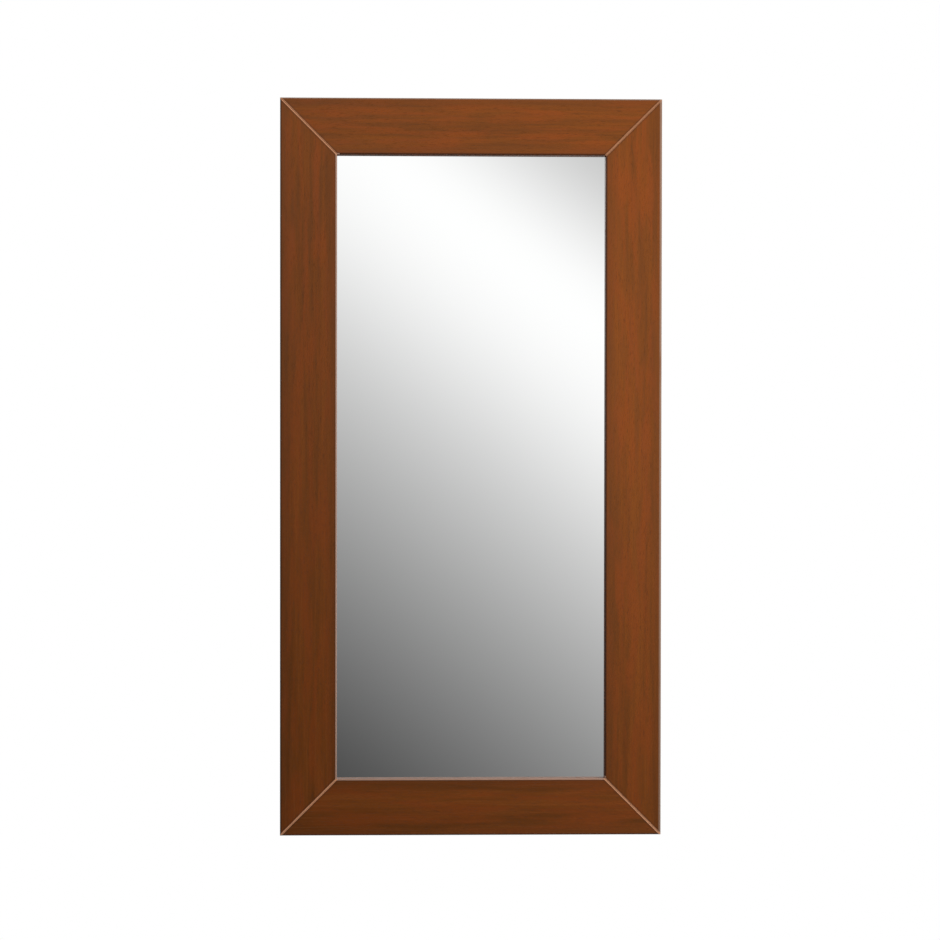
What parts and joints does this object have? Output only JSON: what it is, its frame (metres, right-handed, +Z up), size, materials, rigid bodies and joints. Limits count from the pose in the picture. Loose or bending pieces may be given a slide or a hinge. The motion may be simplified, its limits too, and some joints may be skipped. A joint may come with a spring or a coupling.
{
  "type": "medicine cabinet",
  "caption": "Wall-hung medicine cabinet with a mitred wooden mirror door on a continuous hinge, glass shelves on pins and a magnetic catch.",
  "frame": {"origin": "centre of the four wall-screw holes, on the wall plane behind the hanging rails", "axes": "+X to the right as seen from the front, +Y into the wall, +Z up along the height"},
  "size_m": [0.406, 0.1265, 0.784],
  "materials": {
    "door_wood": "satin",
    "carcass_wood": "satin",
    "beech": "matte",
    "panel_board": "satin",
    "mirror": "polished",
    "foam": "matte",
    "soft_pad": "matte",
    "shelf_glass": "polished",
    "nickel": "polished",
    "hinge_metal": "satin",
    "plate_steel": "satin",
    "catch_plastic": "matte",
    "magnet": "matte"
  },
  "bodies": {
    "cabinet": {"back_panel": "panel_board", "bottom_panel": "carcass_wood", "catch_housing": "catch_plastic", "catch_magnet": "magnet", "catch_poles": "plate_steel", "glass_shelf_lower": "shelf_glass", "glass_shelf_middle": "shelf_glass", "glass_shelf_upper": "shelf_glass", "hanging_rail_lower": "beech", "hanging_rail_upper": "beech", "hinge_leaf_carcass": "hinge_metal", "hinge_pin": "hinge_metal", "shelf_pads_lower": "soft_pad", "shelf_pads_middle": "soft_pad", "shelf_pads_upper": "soft_pad", "shelf_pins_lower": "nickel", "shelf_pins_middle": "nickel", "shelf_pins_upper": "nickel", "side_panel_left": "carcass_wood", "side_panel_right": "carcass_wood", "top_panel": "carcass_wood"},
    "door": {"door_backer": "panel_board", "door_bead_bottom": "door_wood", "door_bead_left": "door_wood", "door_bead_right": "door_wood", "door_bead_top": "door_wood", "door_bumpers": "soft_pad", "door_rail_bottom": "door_wood", "door_rail_top": "door_wood", "door_stile_left": "door_wood", "door_stile_right": "door_wood", "hinge_leaf_door": "hinge_metal", "mirror_glass": "mirror", "mirror_tape": "foam", "mitre_tongues": "beech", "strike_plate": "plate_steel"}
  },
  "joints": [
    {"name": "door_hinge", "type": "hinge", "parent": "cabinet", "child": "door", "pos_m": [-0.1986, -0.10525, 0], "axis": [0, 0, -1], "range_deg": [0, 130]}
  ]
}
